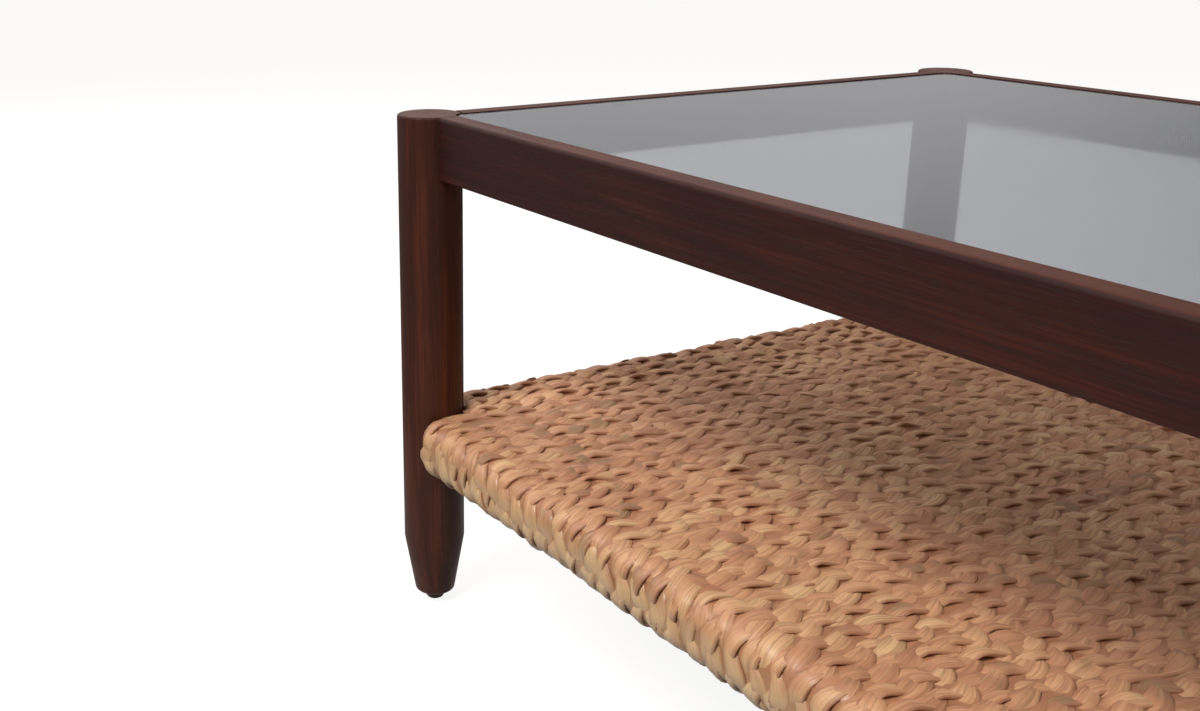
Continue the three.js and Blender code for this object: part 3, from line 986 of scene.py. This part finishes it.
# pieces that keep their solids, by the start of their names

solidFinishes = {
    "glass_pad": "pad",
    "shelf_slat": "plainAlongY",
    "shelf_rail_front": "stainedAlongX",
    "shelf_rail_rear": "stainedAlongX",
    "shelf_rail_left": "stainedAlongY",
    "shelf_rail_right": "stainedAlongY",
    "shelf_deck": "plywood",
}
for start, finish in solidFinishes.items():
    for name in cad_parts:
        if name.startswith(start):
            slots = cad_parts[name].data.materials
            slots.clear()
            slots.append(finishes[finish])
print("glass and hidden frame dressed")

# plaits: three flat stalks each, laid stalk by stalk as a mesh, because no primitive has their path

plaitSettings = {
    "stalks": 3,
    "plaitWidth": 0.018,
    "thickness": 0.009,
    "edgeRadius": 0.018,  # of the shelf's edges, measured outside the plaits
    "turnsRound": 17,  # turns of the pattern on one way round the shelf
    "stepsPerTurn": 20,
    "swing": 0.0060,  # how far a stalk swings to each side
    "swingSharpness": 0.08,
    "lift": 0.0014,  # how far it rises over the others and dives under them
    "liftDelay": 30,  # degrees
    "stalkHalfWidth": 0.0066,
    "stalkHalfThickness": 0.0021,
    "stalkRoundness": 0.80,
    "stalkRim": 0.024,  # the way round a stalk in its UV map
    "mapShift": 3,  # the most that a stalk's map is moved, so that no two match
    "proud": 0.0009,  # how far the stalks lie outside the middle of the cover
    "leafSwell": 0.28,  # how much wider and narrower a leaf gets
    "leafSwellPlace": 40,  # degrees
    "leafThinning": 0.5,
    "roll": 0.25,  # how far a stalk leans, in radians
    "rowDrift": 0.16,  # how far a row is out of step with the one before, in radians
    "knotsPerTurn": 3,  # random values in a turn, of which tone and drift have fewer by the next two
    "knotsPerToneKnot": 3,
    "knotsPerDriftKnot": 6,
    "pathJitter": 0.0007,
    "liftJitter": 0.0004,
    "widthJitter": 0.14,
    "rollJitter": 0.12,
    "timingJitter": 0.22,
    "tone": 0.54,  # a stalk's colour, from 0 for olive to 1 for straw
    "toneSpread": 0.08,
    "toneDrift": 0.13,
    "darkLeaf": 0.8,  # how much darker the dark leaves are
    "darkLeafFrom": 1.2,  # how rare they are
    "coreHalfThickness": 0.0018,
    "coreRoundness": 0.15,
    "coreRise": 0.0005,
    # the core's darker tone adds to the painted shade in the gaps
    "coreShadeTone": 0.3,
    "legSwell": 0.0060,  # how far the outermost plaits swell beside the legs
    "legSwellStart": 0.225,  # and how far from the shelf's middle they start to
    "legSwellRun": 0.040,
    "endPlaits": 8,
    "endReach": 0.0075,  # how far the plaits of an end run past its cover, towards the legs
    "innerEndReach": 0.013,  # and the two of them next to the bays
    "endTurnLength": 0.0745,
    "endLift": 0.0024,
    "endCurl": 0.0018,
    "endPinch": 0.25,
    "endPinchSteps": 3,
    "seed": 11,
    "endSeeds": {"left": 15, "right": 17},
}
sectionAngles = np.radians([0, 32, 68, 112, 148, 180, 240, 300])  # closer together on the upper side


# from 0 to 1 with a soft start and a soft end
def eased(share):
    share = np.clip(share, 0, 1)
    return share * share * (3 - 2 * share)


# smooth random values along a stalk, that meet at the ends where the plait is a closed loop
def wander(random, knots, stations, closed):
    values = random.normal(0, 1, knots)
    index = np.floor(stations * knots).astype(int)
    share = eased(stations * knots - index)
    if closed:
        index, following = index % knots, (index + 1) % knots
    else:
        index, following = np.minimum(index, knots - 1), np.minimum(index + 1, knots - 1)
    return values[index] * (1 - share) + values[following] * share


def unit(vectors):
    return vectors / np.linalg.norm(vectors, axis=1)[:, None]


def directionsAlong(path, closed):
    ahead = np.roll(path, -1, 0) - np.roll(path, 1, 0)
    if not closed:
        ahead[0], ahead[-1] = path[1] - path[0], path[-1] - path[-2]
    return unit(ahead)


# rings of points round a path; a section of roundness 1 is an ellipse, and near 0 a rectangle
def layRings(path, flat, thin, width, thick, roundness):
    across, through = np.cos(sectionAngles), np.sin(sectionAngles)
    across = np.sign(across) * np.abs(across) ** roundness
    through = np.sign(through) * np.abs(through) ** roundness
    return (
        path[:, None]
        + flat[:, None] * (width[:, None] * across)[..., None]
        + thin[:, None] * (thick[:, None] * through)[..., None]
    )


# base, side and out give the plait's path: points, directions across it and directions out of the shelf
def layPlait(random, base, side, out, turns, phase, closed, values):
    count = len(base)
    stations = np.arange(count) / (count if closed else count - 1)
    knots = round(abs(turns) * values["knotsPerTurn"])
    toneKnots, driftKnots = knots // values["knotsPerToneKnot"], knots // values["knotsPerDriftKnot"]

    def wandering(among=knots):
        return wander(random, among, stations, closed)

    stalks = []
    drift = wandering(driftKnots) * values["timingJitter"]
    for stalk in range(values["stalks"]):
        angle = 2 * np.pi * (stations * turns + stalk / values["stalks"]) + phase + drift
        angle = angle + wandering() * values["timingJitter"]
        across = -values["swing"] * (np.cos(angle) - values["swingSharpness"] * np.cos(3 * angle))
        across = across + wandering() * values["pathJitter"]
        rise = values["lift"] * np.sin(2 * angle - np.radians(values["liftDelay"]))
        rise = rise + wandering() * values["liftJitter"]
        # a leaf is broad where it comes up at the plait's edge and narrow where it dives at its middle
        swell = 1 + values["leafSwell"] * np.cos(2 * angle - 2 * np.radians(values["leafSwellPlace"]))
        width = values["stalkHalfWidth"] * swell * (1 + wandering() * values["widthJitter"])
        thick = values["stalkHalfThickness"] * (1 + values["leafThinning"] * (1 - swell))
        if not closed:
            # the cut ends are pinched flat and rounded off
            nearEnd = np.clip(np.minimum(stations, 1 - stations) * count / values["endPinchSteps"], 0, 1)
            pinch = values["endPinch"] + (1 - values["endPinch"]) * np.sqrt(1 - (1 - nearEnd) ** 2)
            width, thick = width * pinch, thick * pinch
            rise = rise - values["endCurl"] * (1 - nearEnd) ** 2
        roll = values["roll"] * np.cos(angle) * np.sin(2 * angle) + wandering() * values["rollJitter"]
        path = base + side * across[:, None] + out * (rise + values["proud"])[:, None]
        ahead = directionsAlong(path, closed)
        flat = unit(side - ahead * (side * ahead).sum(1)[:, None])
        thin = np.cross(ahead, flat)
        thin *= np.sign((thin * out).sum(1))[:, None]
        rollCos, rollSin = np.cos(roll)[:, None], np.sin(roll)[:, None]
        flat, thin = flat * rollCos + thin * rollSin, thin * rollCos - flat * rollSin
        tone = values["tone"] + values["toneSpread"] * random.normal()
        tone = tone + values["toneDrift"] * wandering(toneKnots)
        # here and there a leaf is dark
        tone = tone - values["darkLeaf"] * np.clip(-values["darkLeafFrom"] - wandering(), 0, 1)
        stalks.append({
            "rings": layRings(path, flat, thin, width, thick, values["stalkRoundness"]),
            "tone": np.clip(tone, 0, 1),
            # how far the stalk dives under the others, which is painted in shade
            "sunk": np.clip(-rise / values["lift"], 0, 1),
            "insideOut": (np.cross(flat, thin) * ahead).sum() < 0,
        })
    return stalks


# a flat core under the leaves, so that no gap between them opens to the inside; with its darker tone and
# full painted shade it paints the shade seen in the gaps
def layCore(base, side, out, halfWidth, closed, values):
    count = len(base)
    width, thick = np.full(count, halfWidth), np.full(count, values["coreHalfThickness"])
    return {
        "rings": layRings(base + out * values["coreRise"], side, out, width, thick, values["coreRoundness"]),
        "tone": np.full(count, values["coreShadeTone"]),
        # the core is painted in full shade
        "sunk": np.ones(count),
        "insideOut": (np.cross(side, out) * directionsAlong(base, closed)).sum() < 0,
    }


# one mesh from many stalks, with a UV map round and along them and their tone
def meshFromStalks(name, stalks, closed, stationLength, random, values):
    sides = len(sectionAngles)
    around = np.arange(sides)
    nextSide = (around + 1) % sides
    vertices, faces, uvs, caps = [], [], [], []
    total = 0
    for stalk in stalks:
        count = len(stalk["rings"])
        vertices.append(stalk["rings"].reshape(-1, 3))
        rings = np.arange(count if closed else count - 1)
        ring = total + rings[:, None] * sides
        nextRing = total + (rings[:, None] + 1) % count * sides
        quads = np.stack([ring + around, ring + nextSide, nextRing + nextSide, nextRing + around], -1)
        quads = quads.reshape(-1, 4)
        lowU, lowV = np.meshgrid(around / sides, rings * stationLength)
        highU, highV = lowU + 1 / sides, lowV + stationLength
        corners = np.stack([lowU, lowV, highU, lowV, highU, highV, lowU, highV], -1).reshape(-1, 4, 2)
        shift = random.random(2) * values["mapShift"]
        corners = corners * np.array([values["stalkRim"], 1]) + shift
        if stalk["insideOut"]:
            quads, corners = quads[:, ::-1], corners[:, ::-1]
        faces.append(quads)
        uvs.append(corners)
        if not closed:
            first = total + around
            for cap in (first[::-1], first + (count - 1) * sides):
                caps.append((cap[::-1] if stalk["insideOut"] else cap).tolist())
        total += count * sides
    mesh = bpy.data.meshes.new(name)
    mesh.from_pydata(np.concatenate(vertices).tolist(), [], np.concatenate(faces).tolist() + caps)
    stalkMap = mesh.uv_layers.new(name="stalkMap")
    capUvs = np.zeros(len(caps) * sides * 2)
    stalkMap.data.foreach_set("uv", np.append(np.concatenate(uvs).ravel(), capUvs).astype(np.float32))
    rim = np.abs(np.cos(sectionAngles))
    attributes = {
        "stalkTone": [np.repeat(stalk["tone"], sides) for stalk in stalks],
        "sunk": [np.repeat(stalk["sunk"], sides) for stalk in stalks],
        "leafRim": [np.tile(rim, len(stalk["rings"])) for stalk in stalks],
    }
    for attributeName, parts in attributes.items():
        attribute = mesh.attributes.new(attributeName, "FLOAT", "POINT")
        attribute.data.foreach_set("value", np.concatenate(parts).astype(np.float32))
    mesh.shade_smooth()
    piece = bpy.data.objects.new(name, mesh)
    scene.collection.objects.link(piece)
    return piece


# a path round the shelf is made of straight runs, each followed by a quarter bend, and a bend is given by
# its centre (across and up), the angle where it starts and the length of the run before it
def pathPlace(distance, bends, radius):
    quarter = math.pi / 2 * radius
    for centreAcross, centreUp, angle, run in bends:
        if distance < run + quarter:
            break
        distance -= run + quarter
    turned = angle + max(0, distance - run) / radius
    back = max(0, run - distance)
    outAcross, outUp = math.cos(turned), math.sin(turned)
    across = centreAcross + outAcross * radius + outUp * back
    up = centreUp + outUp * radius - outAcross * back
    return (across, up), (outAcross, outUp)


# the closed path of a plait round the shelf, seen along X: points, outward directions and length
def windingPath(count, values):
    low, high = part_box("plaited_cover_bay_1")
    radius = values["edgeRadius"] - values["thickness"] / 2
    reach = high.y - values["edgeRadius"]
    bottom, top = low.z + values["edgeRadius"], high.z - values["edgeRadius"]
    bends = (
        (-reach, top, math.pi / 2, 2 * reach),
        (-reach, bottom, math.pi, top - bottom),
        (reach, bottom, math.pi * 3 / 2, 2 * reach),
        (reach, top, math.pi * 2, top - bottom),
    )
    length = sum(run for *_, run in bends) + 2 * math.pi * radius
    places = [pathPlace(distance, bends, radius) for distance in np.arange(count) / count * length]
    points = np.array([(0, *place) for place, _ in places])
    outs = np.array([(0, *out) for _, out in places])
    return points, outs, length


def makeBays(values):
    random = np.random.default_rng(values["seed"])
    count = values["turnsRound"] * values["stepsPerTurn"]
    path, out, length = windingPath(count, values)
    side = np.tile([1.0, 0.0, 0.0], (count, 1))
    bays = sorted(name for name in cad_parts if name.startswith("plaited_cover_bay"))
    # the outermost plaits swell into the gap beside the legs
    besideLeg = (np.abs(path[:, 1]) - values["legSwellStart"]) / values["legSwellRun"]
    besideLeg = values["legSwell"] * eased(besideLeg)
    phase = 0.0
    for bay in bays:
        low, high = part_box(bay)
        plaits = round((high.x - low.x) / values["plaitWidth"])
        pitch = (high.x - low.x) / plaits
        stalks = []
        for plait in range(plaits):
            phase += random.normal(0, values["rowDrift"])
            base = path + np.array([low.x + pitch * (plait + 0.5), 0, 0])
            if bay == bays[0] and plait == 0:
                base[:, 0] -= besideLeg
            if bay == bays[-1] and plait == plaits - 1:
                base[:, 0] += besideLeg
            stalks += layPlait(random, base, side, out, -values["turnsRound"], phase, True, values)
        middle = path + np.array([(low.x + high.x) / 2, 0, 0])
        halfWidth = (high.x - low.x) / 2 - values["coreHalfThickness"]
        stalks.append(layCore(middle, side, out, halfWidth, True, values))
        name = bay.replace("plaited_cover", "plaits")
        piece = meshFromStalks(name, stalks, True, length / count, random, values)
        finishPiece(piece, "plait", "plaited_fibre", "frame", bay)
        print(piece.name, len(piece.data.polygons) * 2, "triangles")


makeBays(plaitSettings)
print("plaits wound")


# plaits along an end of the shelf, laid side by side from its top round its outer edge to its underside;
# their path is worked out as on the left end, and mirrored for the right one
def makeEnd(side, values):
    random = np.random.default_rng(values["endSeeds"][side])
    low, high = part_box("plaited_cover_" + side + "_end")
    mirror = 1 if side == "left" else -1
    radius = values["edgeRadius"] - values["thickness"] / 2
    flat = high.x - low.x - values["edgeRadius"]
    bottom, top = low.z + values["edgeRadius"], high.z - values["edgeRadius"]
    inner = max(mirror * low.x, mirror * high.x)
    bends = (
        (inner - flat, top, math.pi / 2, flat),
        (inner - flat, bottom, math.pi, top - bottom),
        (inner, bottom, math.pi * 3 / 2, flat),
    )
    width = (2 * flat + top - bottom + math.pi * radius) / values["endPlaits"]
    length = high.y - low.y
    turns = length / values["endTurnLength"]
    count = round(turns * values["stepsPerTurn"])
    along = np.linspace(low.y, high.y, count)
    endValues = {**values, "lift": values["endLift"]}
    stalks = []
    phase = 0.0
    for plait in range(values["endPlaits"]):
        phase += random.normal(0, values["rowDrift"])
        (across, up), (outAcross, outUp) = pathPlace(width * (plait + 0.5), bends, radius)
        nextToBay = plait in (0, values["endPlaits"] - 1)
        reach = values["innerEndReach"] if nextToBay else values["endReach"]
        base = np.tile([mirror * across, 0, up], (count, 1))
        base[:, 1] = along * (1 + 2 * reach / length)
        out = np.tile([mirror * outAcross, 0, outUp], (count, 1))
        over = np.cross([0, 1, 0], out)
        stalks += layPlait(random, base, over, out, turns, phase, False, endValues)
        stalks.append(layCore(base, over, out, width / 2, False, values))
    piece = meshFromStalks("plaits_" + side + "_end", stalks, False, length / count, random, values)
    finishPiece(piece, "plait", "plaited_fibre", "frame", "plaited_cover_" + side + "_end")
    print(piece.name, len(piece.data.polygons) * 2, "triangles")


makeEnd("left", plaitSettings)
makeEnd("right", plaitSettings)
print("ends covered")
